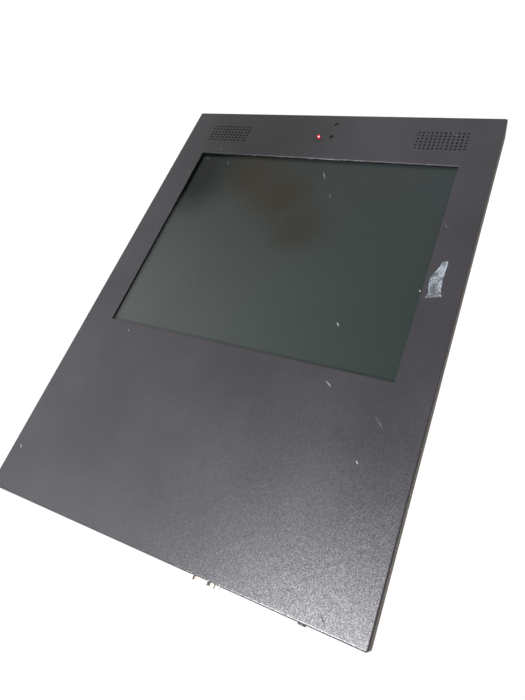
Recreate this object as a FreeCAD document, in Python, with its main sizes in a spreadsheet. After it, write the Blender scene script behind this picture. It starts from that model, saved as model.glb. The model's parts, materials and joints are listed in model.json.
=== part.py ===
import FreeCAD, Part
import math
import os

import Sketcher

# A touchscreen kiosk head that hangs on a wall, arm or stand. X runs to the right as one faces
# the screen, +Y runs back towards the wall and +Z is up. The origin is the middle of the square
# of threaded inserts at the back. Every length is in millimetres.

DIMENSIONS = {
    # folded front panel
    "panel_width": 490.0,
    "panel_height": 673.0,
    "panel_depth": 30.0,
    "panel_sheet": 2.0,
    "bend_radius": 2.0,
    "corner_radius": 3.0,
    # screen opening and what lies behind it
    "screen_width": 400.0,
    "screen_height": 323.0,
    "screen_top": 91.5,
    "gasket_depth": 2.3,
    "gasket_setback": 1.5,
    "glass_lap": 8.0,
    "glass_depth": 3.0,
    "glass_corner": 3.0,
    "tape_depth": 1.0,
    "tape_width": 8.0,
    "module_inset": 2.0,
    "module_depth": 17.0,
    "bezel_sheet": 0.8,
    "bezel_lip": 9.0,
    "cell_depth": 2.0,
    "cell_margin": 4.0,
    "module_gap": 0.3,
    # brackets that press the display against the panel
    "bracket_sheet": 1.5,
    "bracket_width": 24.0,
    "bracket_reach": 40.0,
    "bracket_foot": 16.0,
    "bracket_spread": 110.0,
    "bracket_gap": 3.0,
    # speakers
    "speaker_spread": 168.0,
    "speaker_drop": 46.6,
    "grille_hole": 3.2,
    "grille_pitch": 6.0,
    "grille_columns": 12.0,
    "grille_rows": 6.0,
    "speaker_width": 78.0,
    "speaker_height": 44.0,
    "speaker_sheet": 1.5,
    "speaker_hole_inset": 3.0,
    "basket_width": 64.0,
    "basket_height": 34.0,
    "basket_depth": 12.0,
    "magnet_radius": 14.0,
    "magnet_depth": 9.0,
    "cone_sheet": 1.0,
    "cone_gap": 0.3,
    # sensors over the screen
    "sensor_side": 7.8,
    "camera_drop": 46.2,
    "microphone_drop": 20.1,
    "sensor_hole": 6.8,
    "sensor_play": 0.4,
    "led_side": 11.6,
    "led_drop": 48.6,
    "led_diameter": 4.9,
    "led_proud": 4.5,
    "led_play": 0.2,
    "led_collar": 0.5,
    "led_collar_height": 1.0,
    "sensor_board_width": 54.0,
    "sensor_board_height": 50.0,
    "sensor_board_gap": 4.0,
    "sensor_board_drop": 32.0,
    # ports on the bottom edge
    "port_setback": 15.0,
    "port_play": 0.5,
    "serial_side": 67.0,
    "serial_pitch": 25.0,
    "serial_flange_width": 30.8,
    "serial_flange_depth": 12.5,
    "serial_flange_sheet": 1.0,
    "serial_shell_long": 16.9,
    "serial_shell_short": 14.9,
    "serial_shell_depth": 8.4,
    "serial_shell_proud": 4.3,
    "serial_shell_wall": 0.5,
    "serial_body_width": 18.0,
    "serial_body_depth": 11.5,
    "serial_body_height": 8.0,
    "serial_nose_gap": 0.5,
    "contact_pitch": 2.77,
    "contact_row": 1.42,
    "contact_radius": 0.55,
    "jackscrew_radius": 2.7,
    "jackscrew_length": 4.8,
    "jackscrew_thread": 1.42,
    "jackscrew_nut": 2.0,
    "button_side": 86.6,
    "button_bezel_radius": 2.6,
    "button_bezel_proud": 0.5,
    "button_barrel": 2.1,
    "button_radius": 1.25,
    "button_proud": 3.6,
    "button_travel": 1.5,
    "button_gap": 0.25,
    "switch_height": 6.0,
    "barrel_reach": 8.5,
    "inlet_side": 179.0,
    "inlet_radius": 4.3,
    "inlet_proud": 2.2,
    "inlet_barrel": 3.7,
    "inlet_bore": 2.8,
    "inlet_bore_depth": 9.0,
    "inlet_pin": 1.0,
    "inlet_pin_recess": 1.0,
    "nut_thickness": 3.0,
    "nut_play": 0.05,
    # rear cover and the rails that it is screwed to
    "cover_depth": 22.0,
    "cover_sheet": 1.5,
    "cover_inset": 12.0,
    "cover_corner": 5.0,
    "flange_inset": 2.0,
    "rail_depth": 6.0,
    "rail_sheet": 1.5,
    "rail_width": 14.0,
    "screw_radius": 1.45,
    "screw_head": 2.8,
    "screw_head_height": 1.8,
    "screw_reach": 5.0,
    "screw_play": 0.15,
    "cover_screw_side": 60.0,
    "cover_screw_end": 50.0,
    # screen mount with 100 mm hole spacing
    "mount_depth": 8.0,
    "mount_side": 124.0,
    "mount_pitch": 100.0,
    "mount_thread": 2.0,
    "insert_radius": 4.0,
    "mount_bolt_spread": 38.0,
    "mount_bolt_head": 3.6,
    "mount_bolt_head_height": 2.4,
    "mount_bolt_socket": 1.3,
    # service door
    "door_width": 360.0,
    "door_height": 200.0,
    "door_drop": 205.0,
    "door_gap": 1.0,
    "door_relief": 0.3,
    "stop_lap": 8.0,
    "stop_sheet": 1.5,
    "stop_rim": 4.0,
    "keeper_depth": 2.7,
    "keeper_shift": 1.0,
    "hinge_spread": 65.0,
    "hinge_height": 42.0,
    "hinge_leaf": 16.0,
    "hinge_sheet": 1.0,
    "knuckle_radius": 2.3,
    "knuckle_gap": 0.3,
    "pin_radius": 1.2,
    "pin_play": 0.05,
    "lock_inset": 22.0,
    "lock_flange": 9.0,
    "lock_barrel": 6.0,
    "lock_plug": 4.0,
    "lock_play": 0.2,
    "lock_plug_proud": 0.4,
    "keyway_width": 1.2,
    "keyway_length": 5.0,
    "keyway_depth": 3.0,
    "cam_gap": 0.3,
    "cam_length": 26.0,
    "cam_width": 11.0,
    "cam_sheet": 2.0,
    # exhaust fan and vents
    "fan_size": 60.0,
    "fan_depth": 15.0,
    "fan_side": 150.0,
    "fan_rise": 215.0,
    "fan_bore": 28.0,
    "fan_hub": 12.0,
    "fan_blade_tip": 26.0,
    "fan_hole_spread": 25.0,
    "fan_strut": 3.0,
    "fan_strut_sheet": 2.0,
    "fan_rotor_start": 2.3,
    "fan_rotor_gap": 1.0,
    "blade_sheet": 1.5,
    "vent_hole": 4.0,
    "vent_pitch": 6.0,
    "slot_width": 3.0,
    "slot_height": 34.0,
    "slot_pitch": 9.0,
    "slot_side": 150.0,
    # electronics
    "plate_width": 430.0,
    "plate_height": 215.0,
    "plate_drop": 200.0,
    "plate_sheet": 1.5,
    "plate_gap": 14.0,
    "plate_margin": 12.0,
    "standoff_radius": 4.0,
    "board_post": 2.4,
    "board_sheet": 1.6,
    "board_size": 170.0,
    "touch_board_width": 60.0,
    "touch_board_height": 30.0,
    "touch_board_gap": 25.0,
    "board_side": 95.0,
    "board_gap": 6.0,
    "board_margin": 6.0,
    "chip_height": 2.0,
    "chip_size": 14.0,
    "socket_height": 8.0,
    "memory_width": 68.0,
    "memory_height": 30.0,
    "memory_depth": 4.0,
    "memory_rise": 24.0,
    "sink_size": 80.0,
    "sink_rise": 20.0,
    "sink_base": 4.0,
    "sink_fins": 14.0,
    "sink_fin_sheet": 1.6,
    "supply_width": 160.0,
    "supply_height": 80.0,
    "supply_depth": 27.0,
    "supply_side": 95.0,
    "supply_drop": 148.0,
    "drive_width": 100.0,
    "drive_height": 70.0,
    "drive_depth": 7.0,
    "drive_drop": 255.0,
    "driver_width": 130.0,
    "driver_height": 80.0,
    "driver_rise": 60.0,
    "driver_gap": 5.0,
    "cable_radius": 2.0,
    "thin_cable_radius": 1.2,
    "display_cable_side": 40.0,
}

doc = FreeCAD.newDocument("kiosk")
sheet = doc.addObject("Spreadsheet::Sheet", "dims")
subparts = {}


class Size:
    """A length that knows its number and the sheet expression it is worked out by."""

    def __init__(self, number, text):
        self.number = number
        self.text = text

    def combine(self, other, sign, number):
        return Size(number, f"({self.text} {sign} {other.text})")

    def __add__(self, other):
        other = as_size(other)
        return self.combine(other, "+", self.number + other.number)

    def __sub__(self, other):
        other = as_size(other)
        return self.combine(other, "-", self.number - other.number)

    def __mul__(self, other):
        other = as_size(other)
        return self.combine(other, "*", self.number * other.number)

    def __truediv__(self, other):
        other = as_size(other)
        return self.combine(other, "/", self.number / other.number)

    def __neg__(self):
        return as_size(0) - self

    def __radd__(self, other):
        return as_size(other) + self

    def __rsub__(self, other):
        return as_size(other) - self

    def __rmul__(self, other):
        return as_size(other) * self


def as_size(value):
    return value if isinstance(value, Size) else Size(float(value), repr(float(value)))


class Sizes:
    """The sheet's cells, one attribute for each alias."""


d = Sizes()


def fill_sheet():
    for row, (alias, number) in enumerate(DIMENSIONS.items(), start=1):
        sheet.set(f"A{row}", alias)
        sheet.set(f"B{row}", str(number))
        sheet.setAlias(f"B{row}", alias)
        setattr(d, alias, Size(number, f"dims.{alias}"))
    doc.recompute()


fill_sheet()

# planes from front to back
front_y = -(d.panel_depth + d.cover_depth + d.mount_depth)
sheet_back_y = front_y + d.panel_sheet
glass_front_y = sheet_back_y + d.gasket_depth
glass_back_y = glass_front_y + d.glass_depth
module_front_y = glass_back_y + d.tape_depth
module_back_y = module_front_y + d.module_depth
rim_y = -(d.cover_depth + d.mount_depth)
cover_back_y = -d.mount_depth
cover_inner_y = cover_back_y - d.cover_sheet
plate_front_y = sheet_back_y + d.plate_gap
plate_back_y = plate_front_y + d.plate_sheet
board_front_y = plate_back_y + d.board_gap
board_back_y = board_front_y + d.board_sheet
driver_front_y = module_back_y + d.driver_gap
driver_back_y = driver_front_y + d.board_sheet
fan_front_y = cover_inner_y - d.fan_depth
sensor_board_y = sheet_back_y + d.sensor_board_gap
lens_back_y = sheet_back_y + d.sensor_board_gap / 4

# heights
top_z = d.panel_height / 2
bottom_z = -top_z
bottom_inner_z = bottom_z + d.panel_sheet
flange_back_z = bottom_inner_z + d.serial_flange_sheet
barrel_top_z = bottom_inner_z + d.barrel_reach
screen_z = top_z - d.screen_top - d.screen_height / 2
speaker_z = top_z - d.speaker_drop
port_y = front_y + d.port_setback
door_z = -d.door_drop
plate_z = -d.plate_drop
small_nut_radius = d.screw_radius * 1.9
glass_width = d.screen_width + d.glass_lap * 2
glass_height = d.screen_height + d.glass_lap * 2
module_width = d.screen_width - d.module_inset * 2
module_height = d.screen_height + d.module_inset / 2
sensor_board_z = top_z - d.sensor_board_drop
touch_board_z = d.driver_rise + d.driver_height / 2 + d.touch_board_gap + d.touch_board_height / 2
sink_z = plate_z + d.sink_rise
display_cable_x = -d.display_cable_side
fan_lead_x = d.driver_width / 2 - d.socket_height / 2 - 1


# ---------------------------------------------------------------- helpers


def bind(thing, path, value):
    thing.setExpression(path, as_size(value).text)


def locate(thing, x, y, z, path="Placement.Base"):
    for axis, value in zip("xyz", (x, y, z)):
        bind(thing, f"{path}.{axis}", value)


def keep(label, thing):
    thing.Label = label
    subparts[label] = thing
    return thing


def block(size, centre):
    """A box of a given size about a centre."""
    box = doc.addObject("Part::Box", "block")
    for name, value in zip(("Length", "Width", "Height"), size):
        bind(box, name, value)
    locate(box, *[middle - as_size(extent) / 2 for middle, extent in zip(map(as_size, centre), size)])
    return box


TURNS = {
    "x": FreeCAD.Rotation(FreeCAD.Vector(0, 1, 0), 90),
    "y": FreeCAD.Rotation(FreeCAD.Vector(1, 0, 0), -90),
    "z": FreeCAD.Rotation(),
}


def rod(radius, length, start, axis="y"):
    """A cylinder that runs from its start along a positive axis."""
    cylinder = doc.addObject("Part::Cylinder", "rod")
    cylinder.Placement = FreeCAD.Placement(FreeCAD.Vector(), TURNS[axis])
    bind(cylinder, "Radius", radius)
    bind(cylinder, "Height", length)
    locate(cylinder, *start)
    return cylinder


def hexagon(radius, length, start, axis="y"):
    """A six-sided prism that runs from its start along a positive axis."""
    prism = doc.addObject("Part::Prism", "hexagon")
    prism.Polygon = 6
    prism.Placement = FreeCAD.Placement(FreeCAD.Vector(), TURNS[axis])
    bind(prism, "Circumradius", radius)
    bind(prism, "Height", length)
    locate(prism, *start)
    return prism


def fuse(*pieces):
    union = doc.addObject("Part::MultiFuse", "union")
    union.Shapes = list(pieces)
    return union


def cut(base, *tools):
    result = doc.addObject("Part::Cut", "cut")
    result.Base = base
    result.Tool = tools[0] if len(tools) == 1 else fuse(*tools)
    return result


def group(label, pieces):
    """Separate solids of one kind that share a node."""
    bundle = doc.addObject("Part::Compound", label)
    bundle.Links = list(pieces)
    return keep(label, bundle)


def new_body(label, x=0, y=0, z=0):
    body = doc.addObject("PartDesign::Body", label)
    locate(body, x, y, z)
    return keep(label, body)


def sketch_on(body, role="XZ_Plane", x=0, y=0, lift=0):
    """A sketch on one of the body's own planes, moved within it and lifted off it."""
    sketch = body.newObject("Sketcher::SketchObject", "outline")
    plane = next(item for item in body.Origin.OriginFeatures if item.Role == role)
    sketch.AttachmentSupport = (plane, "")
    sketch.MapMode = "FlatFace"
    locate(sketch, x, y, lift, "AttachmentOffset.Base")
    return sketch


def tie(sketch, kind, *where_and_value):
    *where, value = where_and_value
    value = as_size(value)
    index = sketch.addConstraint(Sketcher.Constraint(kind, *where, value.number))
    sketch.setExpression(f"Constraints[{index}]", value.text)


def polygon(sketch, points):
    """A closed outline whose corners are all tied to the sheet."""
    corners = [(as_size(x), as_size(y)) for x, y in points]
    vectors = [FreeCAD.Vector(x.number, y.number, 0) for x, y in corners]
    lines = [
        sketch.addGeometry(Part.LineSegment(here, vectors[(number + 1) % len(vectors)]))
        for number, here in enumerate(vectors)
    ]
    for number, line in enumerate(lines):
        following = lines[(number + 1) % len(lines)]
        sketch.addConstraint(Sketcher.Constraint("Coincident", line, 2, following, 1))
        for kind, value, axis in zip(("DistanceX", "DistanceY"), corners[number], (-2, -1)):
            if value.number == 0:
                sketch.addConstraint(Sketcher.Constraint("PointOnObject", line, 1, axis))
            else:
                tie(sketch, kind, -1, 1, line, 1, value)
    return sketch


def rectangle(sketch, width, height):
    """A rectangle about the sketch's origin."""
    half_w = as_size(width) / 2
    half_h = as_size(height) / 2
    return polygon(sketch, [(-half_w, -half_h), (half_w, -half_h), (half_w, half_h), (-half_w, half_h)])


def circles(sketch, radius, points=((0, 0),)):
    for x, y in points:
        x = as_size(x)
        y = as_size(y)
        centre = FreeCAD.Vector(x.number, y.number, 0)
        ring = sketch.addGeometry(Part.Circle(centre, FreeCAD.Vector(0, 0, 1), as_size(radius).number))
        tie(sketch, "Radius", ring, radius)
        for kind, value, axis in (("DistanceX", x, -2), ("DistanceY", y, -1)):
            if value.number == 0:
                sketch.addConstraint(Sketcher.Constraint("PointOnObject", ring, 3, axis))
            else:
                tie(sketch, kind, -1, 1, ring, 3, value)
    return sketch


def pad(body, sketch, length, along_normal=False):
    """Material from the sketch. On the XZ plane it grows towards +Y unless along_normal is set."""
    feature = body.newObject("PartDesign::Pad", "pad")
    feature.Profile = sketch
    feature.Reversed = not along_normal
    bind(feature, "Length", length)
    doc.recompute()
    return feature


def pocket(body, sketch, length=None, both_ways=False):
    """A cut against the sketch's normal: towards +Y on the XZ plane and -Z on the XY plane."""
    before = body.Shape.Volume
    feature = body.newObject("PartDesign::Pocket", "pocket")
    feature.Profile = sketch
    if both_ways:
        feature.SideType = "Symmetric"
    if length is None:
        feature.Type = "ThroughAll"
    else:
        bind(feature, "Length", length)
    doc.recompute()
    if body.Shape.Volume >= before:
        raise RuntimeError(f"a pocket in {body.Label} cuts nothing")
    return feature


def through(body, sketch):
    return pocket(body, sketch, both_ways=True)


def fillet(body, radius, chosen):
    """Rounds the edges of the body's last feature that a test picks."""
    base = body.Tip
    names = [f"Edge{number}" for number, edge in enumerate(base.Shape.Edges, start=1) if chosen(edge)]
    feature = body.newObject("PartDesign::Fillet", "fillet")
    feature.Base = (base, names)
    bind(feature, "Radius", radius)
    doc.recompute()
    return feature


def runs_along(axis):
    """A test for straight edges parallel to an axis."""
    def test(edge):
        box = edge.BoundBox
        spans = {"x": box.XLength, "y": box.YLength, "z": box.ZLength}
        length = spans.pop(axis)
        return length > 1e-6 and all(span < 1e-6 for span in spans.values())
    return test


def lies_at(axis, position):
    """A test for edges that lie wholly in a plane across an axis."""
    def test(edge):
        box = edge.BoundBox
        low, high = {"x": (box.XMin, box.XMax), "y": (box.YMin, box.YMax), "z": (box.ZMin, box.ZMax)}[axis]
        return abs(low - position) < 1e-6 and abs(high - position) < 1e-6
    return test


def grid(body, feature, sketch, columns, rows, column_pitch, row_pitch):
    """Repeats a feature over a grid along the sketch's two axes."""
    pattern = body.newObject("PartDesign::LinearPattern", "grid")
    pattern.Originals = [feature]
    pattern.Direction = (sketch, ["H_Axis"])
    pattern.Direction2 = (sketch, ["V_Axis"])
    for suffix, count, pitch in (("", columns, column_pitch), ("2", rows, row_pitch)):
        count = as_size(count)
        bind(pattern, f"Occurrences{suffix}", count)
        bind(pattern, f"Length{suffix}", (count - 1) * pitch)
    body.Tip = pattern
    doc.recompute()
    return pattern


def plate(label, width, height, depth, x, front, z):
    """A rectangular plate that faces forwards, whose front face and middle are given."""
    body = new_body(label, x, front, z)
    pad(body, rectangle(sketch_on(body), width, height), depth)
    return body


def frame(label, width, height, depth, margin, x, front, z):
    """A rectangular ring that faces forwards."""
    body = plate(label, width, height, depth, x, front, z)
    through(body, rectangle(sketch_on(body), width - margin * 2, height - margin * 2))
    return body


def screw(x, back, z, reach):
    """A button head screw that is driven forwards, with its head's seat at the given plane."""
    head = rod(d.screw_head, d.screw_head_height, (x, back, z))
    shank = rod(d.screw_radius, reach, (x, back - reach, z))
    socket = hexagon(d.screw_radius * 0.7, d.screw_head_height, (x, back + d.screw_head_height / 2, z))
    return cut(fuse(head, shank), socket)


def tube(route, radius):
    """A round cable along straight runs joined by arcs as large as the runs allow."""
    points = [FreeCAD.Vector(*[as_size(value).number for value in point]) for point in route]
    edges = []
    here = points[0]
    for before, corner, after in zip(points, points[1:], points[2:]):
        back = (before - corner).normalize()
        ahead = (after - corner).normalize()
        reach = 0.45 * min(corner.distanceToPoint(before), corner.distanceToPoint(after))
        start = corner + back * reach
        end = corner + ahead * reach
        half = back.getAngle(ahead) / 2
        bisector = (back + ahead).normalize()
        bend = reach * math.tan(half)
        middle = corner + bisector * (reach / math.cos(half) - bend)
        edges.append(Part.LineSegment(here, start).toShape())
        edges.append(Part.Arc(start, middle, end).toShape())
        here = end
    edges.append(Part.LineSegment(here, points[-1]).toShape())
    path = Part.Wire(edges)
    heading = points[1] - points[0]
    ring = Part.Wire(Part.Circle(points[0], heading, as_size(radius).number).toShape())
    cable = doc.addObject("Part::Feature", "cable")
    cable.Shape = path.makePipeShell([ring], True, False)
    section = math.pi * as_size(radius).number ** 2
    if abs(cable.Shape.Volume / (section * path.Length) - 1) > 0.01:
        raise RuntimeError("a cable's volume isn't its section times its length")
    return cable


# ---------------------------------------------------------------- front panel and its rails


def rim_points():
    """Where the rear cover is screwed to the rails, in X and Z."""
    inset = (d.cover_inset + d.flange_inset) / 2
    side_x = d.panel_width / 2 - inset
    end_z = top_z - inset
    reach_x = d.panel_width / 2 - d.cover_screw_side
    reach_z = top_z - d.cover_screw_end
    up_sides = [(side * side_x, share * reach_z) for side in (-1, 1) for share in (-1, -0.35, 0.35, 1)]
    along_ends = [(share * reach_x, end * end_z) for end in (-1, 1) for share in (-1, 0, 1)]
    return up_sides + along_ends


def front_panel():
    body = plate("front_panel", d.panel_width, d.panel_height, d.panel_depth, 0, front_y, 0)
    fillet(body, d.corner_radius, runs_along("y"))
    fillet(body, d.bend_radius, lies_at("y", 0))
    inner_width = d.panel_width - d.panel_sheet * 2
    inner_height = d.panel_height - d.panel_sheet * 2
    pocket(body, rectangle(sketch_on(body, lift=-d.panel_sheet), inner_width, inner_height))
    pocket(body, rectangle(sketch_on(body, y=screen_z), d.screen_width, d.screen_height))
    for side in (-1, 1):
        first_x = side * d.speaker_spread - (d.grille_columns - 1) * d.grille_pitch / 2
        first_z = speaker_z - (d.grille_rows - 1) * d.grille_pitch / 2
        hole = circles(sketch_on(body, x=first_x, y=first_z), d.grille_hole / 2)
        first = pocket(body, hole)
        grid(body, first, hole, d.grille_columns, d.grille_rows, d.grille_pitch, d.grille_pitch)
    sensors = ((d.sensor_side, top_z - d.camera_drop), (d.sensor_side, top_z - d.microphone_drop))
    pocket(body, circles(sketch_on(body), d.sensor_hole / 2, sensors))
    led = ((-d.led_side, top_z - d.led_drop),)
    pocket(body, circles(sketch_on(body), d.led_diameter / 2 + d.led_play, led))
    port_sketches(body)


def port_sketches(body):
    """The holes in the bottom wall for the serial socket, its screws, the button and the inlet."""
    inside_z = bottom_inner_z + d.panel_sheet
    screws = [(d.serial_side + side * d.serial_pitch / 2, d.port_setback) for side in (-1, 1)]
    pocket(body, circles(sketch_on(body, "XY_Plane", lift=inside_z), d.screw_radius + d.screw_play, screws))
    slot = sketch_on(body, "XY_Plane", x=d.serial_side, y=d.port_setback, lift=inside_z)
    play = d.port_play * 2
    pocket(body, rectangle(slot, d.serial_shell_long + play, d.serial_shell_depth + play))
    for side, barrel in ((d.button_side, d.button_barrel), (d.inlet_side, d.inlet_barrel)):
        hole = sketch_on(body, "XY_Plane", x=side, y=d.port_setback, lift=inside_z)
        pocket(body, circles(hole, barrel + d.screw_play))


def frame_rails():
    """A folded ring inside the panel's rim that the rear cover is screwed to."""
    width = d.panel_width - d.panel_sheet * 2
    height = d.panel_height - d.panel_sheet * 2
    body = plate("frame_rails", width, height, d.rail_depth, 0, rim_y - d.rail_depth, 0)
    web = rectangle(sketch_on(body), width - d.rail_sheet * 2, height - d.rail_sheet * 2)
    pocket(body, web, d.rail_depth - d.rail_sheet)
    through(body, rectangle(sketch_on(body), width - d.rail_width * 2, height - d.rail_width * 2))
    through(body, circles(sketch_on(body), d.screw_radius + d.screw_play, rim_points()))


# ---------------------------------------------------------------- rear cover and mount


def rear_cover():
    width = d.panel_width - d.cover_inset * 2
    height = d.panel_height - d.cover_inset * 2
    body = plate("rear_cover", width, height, d.cover_depth, 0, rim_y, 0)
    fillet(body, d.cover_corner, runs_along("y"))
    fillet(body, d.bend_radius, lies_at("y", d.cover_depth.number))
    flange = sketch_on(body)
    rectangle(flange, d.panel_width - d.flange_inset * 2, d.panel_height - d.flange_inset * 2)
    pad(body, flange, d.cover_sheet)
    hollow = rectangle(sketch_on(body), width - d.cover_sheet * 2, height - d.cover_sheet * 2)
    pocket(body, hollow, d.cover_depth - d.cover_sheet)
    doorway = sketch_on(body, y=door_z)
    through(body, rectangle(doorway, d.door_width + d.door_gap * 2, d.door_height + d.door_gap * 2))
    through(body, circles(sketch_on(body), d.screw_radius + d.screw_play, rim_points()))
    through(body, circles(sketch_on(body), d.mount_thread + d.screw_play, mount_bolt_points()))
    through(body, circles(sketch_on(body), d.screw_radius + d.screw_play, fan_screw_points()))
    fan_vent(body)
    intake_slots(body)


def fan_vent(body):
    """A square field of round holes over the fan."""
    count = 8
    reach = (count - 1) * d.vent_pitch / 2
    hole = circles(sketch_on(body, x=d.fan_side - reach, y=d.fan_rise - reach), d.vent_hole / 2)
    grid(body, through(body, hole), hole, count, count, d.vent_pitch, d.vent_pitch)


def intake_slots(body):
    """Two banks of upright slots beside the mount."""
    count = 12
    for side in (-1, 1):
        first_x = side * d.slot_side - (count - 1) * d.slot_pitch / 2
        slot = rectangle(sketch_on(body, x=first_x, y=0), d.slot_width, d.slot_height)
        grid(body, through(body, slot), slot, count, 1, d.slot_pitch, 0)


def cover_screws():
    seat = rim_y + d.cover_sheet
    group("cover_screws", [screw(x, seat, z, d.screw_reach) for x, z in rim_points()])


def mount_corners():
    half = d.mount_pitch / 2
    return [(across * half, up * half) for across in (-1, 1) for up in (-1, 1)]


def mount_bolt_points():
    spread = d.mount_bolt_spread
    return [(spread, 0), (-spread, 0), (0, spread), (0, -spread)]


def vesa_plate():
    body = plate("vesa_plate", d.mount_side, d.mount_side, d.mount_depth, 0, cover_back_y, 0)
    fillet(body, d.cover_corner, runs_along("y"))
    through(body, circles(sketch_on(body), d.insert_radius + d.screw_play, mount_corners()))
    through(body, circles(sketch_on(body), d.mount_thread + d.screw_play, mount_bolt_points()))
    counterbore = sketch_on(body, lift=-d.mount_depth / 2)
    pocket(body, circles(counterbore, d.mount_thread * 2, mount_bolt_points()))


def vesa_inserts():
    inserts = []
    for x, z in mount_corners():
        outside = rod(d.insert_radius, d.mount_depth, (x, cover_back_y, z))
        thread = rod(d.mount_thread, d.mount_depth, (x, cover_back_y, z))
        inserts.append(cut(outside, thread))
    group("vesa_inserts", inserts)


def mount_bolts():
    bolts = []
    seat = cover_back_y + d.mount_depth / 2
    reach = d.mount_depth / 2 + d.cover_sheet + d.nut_thickness + 1
    for x, z in mount_bolt_points():
        head = rod(d.mount_bolt_head, d.mount_bolt_head_height, (x, seat, z))
        shank = rod(d.mount_thread, reach, (x, seat - reach, z))
        socket_y = seat + d.mount_bolt_head_height / 2
        socket = hexagon(d.mount_bolt_socket, d.mount_bolt_head_height, (x, socket_y, z))
        bolts.append(cut(fuse(head, shank), socket))
    group("mount_bolts", bolts)


# ---------------------------------------------------------------- screen


def screen_gasket():
    width = glass_width
    height = glass_height
    margin = d.glass_lap - d.gasket_setback
    frame("screen_gasket", width, height, d.gasket_depth, margin, 0, sheet_back_y, screen_z)


def touch_glass():
    body = plate("touch_glass", glass_width, glass_height, d.glass_depth, 0, glass_front_y, screen_z)
    fillet(body, d.glass_corner, runs_along("y"))


def lcd_spacer():
    """Foam tape between the touch glass and the display module."""
    place = (0, glass_back_y, screen_z)
    frame("lcd_spacer", module_width, module_height, d.tape_depth, d.tape_width, *place)


def lcd_bezel():
    depth = d.module_depth * 0.8
    body = plate("lcd_bezel", module_width, module_height, depth, 0, module_front_y, screen_z)
    inner_width = module_width - d.bezel_sheet * 2
    inner_height = module_height - d.bezel_sheet * 2
    pocket(body, rectangle(sketch_on(body, lift=-d.bezel_sheet), inner_width, inner_height))
    window = sketch_on(body)
    pocket(body, rectangle(window, module_width - d.bezel_lip * 2, module_height - d.bezel_lip * 2))


def lcd_cell():
    front = module_front_y + d.bezel_sheet
    width = module_width - d.cell_margin * 2
    height = module_height - d.cell_margin * 2
    plate("lcd_cell", width, height, d.cell_depth, 0, front, screen_z)


def lcd_backlight():
    front = module_front_y + d.bezel_sheet + d.cell_depth
    inset = (d.bezel_sheet + d.module_gap) * 2
    depth = d.module_depth - d.bezel_sheet - d.cell_depth
    plate("lcd_backlight", module_width - inset, module_height - inset, depth, 0, front, screen_z)


def bracket_spots():
    return [(side, screen_z + up * d.bracket_spread) for side in (-1, 1) for up in (-1, 1)]


def bracket_leg_x():
    """How far out the bracket's leg stands: just outside the glass."""
    return glass_width / 2 + d.bracket_gap


def lcd_brackets():
    """Z-shaped straps from the back of the display down to studs on the panel."""
    brackets = []
    leg_x = bracket_leg_x()
    t = d.bracket_sheet
    for side, z in bracket_spots():
        arm = block((d.bracket_reach, t, d.bracket_width),
                    (side * (leg_x + t - d.bracket_reach / 2), module_back_y + t / 2, z))
        leg_length = module_back_y + t - sheet_back_y
        leg = block((t, leg_length, d.bracket_width),
                    (side * (leg_x + t / 2), sheet_back_y + leg_length / 2, z))
        foot = block((d.bracket_foot, t, d.bracket_width),
                     (side * (leg_x + d.bracket_foot / 2), sheet_back_y + t / 2, z))
        hole = rod(d.mount_thread + d.screw_play, t, (side * bracket_stud_x(), sheet_back_y, z))
        brackets.append(cut(fuse(arm, leg, foot), hole))
    group("lcd_brackets", brackets)


def bracket_stud_x():
    return bracket_leg_x() + d.bracket_foot * 0.6


def bracket_studs():
    """Studs welded behind the panel, each with its nut run down on the bracket's foot."""
    studs = []
    for side, z in bracket_spots():
        x = side * bracket_stud_x()
        stud = rod(d.mount_thread, d.nut_thickness * 3, (x, sheet_back_y, z))
        nut = hexagon(d.mount_thread * 1.9, d.nut_thickness, (x, sheet_back_y + d.bracket_sheet, z))
        studs.append(fuse(stud, nut))
    group("bracket_studs", studs)


# ---------------------------------------------------------------- speakers


def speaker_points():
    return [(side * d.speaker_spread, speaker_z) for side in (-1, 1)]


def speaker_hole_points():
    across = d.speaker_width / 2 - d.speaker_hole_inset
    up = d.speaker_height / 2 - d.speaker_hole_inset
    corners = [(side * across, end * up) for side in (-1, 1) for end in (-1, 1)]
    return [(x + offset_x, z + offset_z) for x, z in speaker_points() for offset_x, offset_z in corners]


def speaker_frames():
    frames = []
    t = d.speaker_sheet
    for x, z in speaker_points():
        flange = block((d.speaker_width, t, d.speaker_height), (x, sheet_back_y + t / 2, z))
        basket = block((d.basket_width + t * 2, d.basket_depth, d.basket_height + t * 2),
                       (x, sheet_back_y + d.basket_depth / 2, z))
        hollow = block((d.basket_width, d.basket_depth - t, d.basket_height),
                       (x, sheet_back_y + (d.basket_depth - t) / 2, z))
        frames.append(cut(fuse(flange, basket), hollow))
    holes = [rod(d.screw_radius + d.screw_play, t, (x, sheet_back_y, z)) for x, z in speaker_hole_points()]
    bored = [cut(frames[0], *holes[:4]), cut(frames[1], *holes[4:])]
    group("speaker_frames", bored)


def speaker_cones():
    """Flat diaphragms with a voice coil behind, each hung just inside its basket's mouth."""
    cones = []
    front = sheet_back_y + d.speaker_sheet * 2
    width = d.basket_width - d.cone_gap * 2
    height = d.basket_height - d.cone_gap * 2
    for x, z in speaker_points():
        sheet_piece = block((width, d.cone_sheet, height), (x, front, z))
        cap = rod(d.magnet_radius * 0.7, d.basket_depth - d.speaker_sheet * 3, (x, front, z))
        cones.append(fuse(sheet_piece, cap))
    group("speaker_cones", cones)


def speaker_magnets():
    back = sheet_back_y + d.basket_depth
    magnets = [rod(d.magnet_radius, d.magnet_depth, (x, back, z)) for x, z in speaker_points()]
    group("speaker_magnets", magnets)


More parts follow.
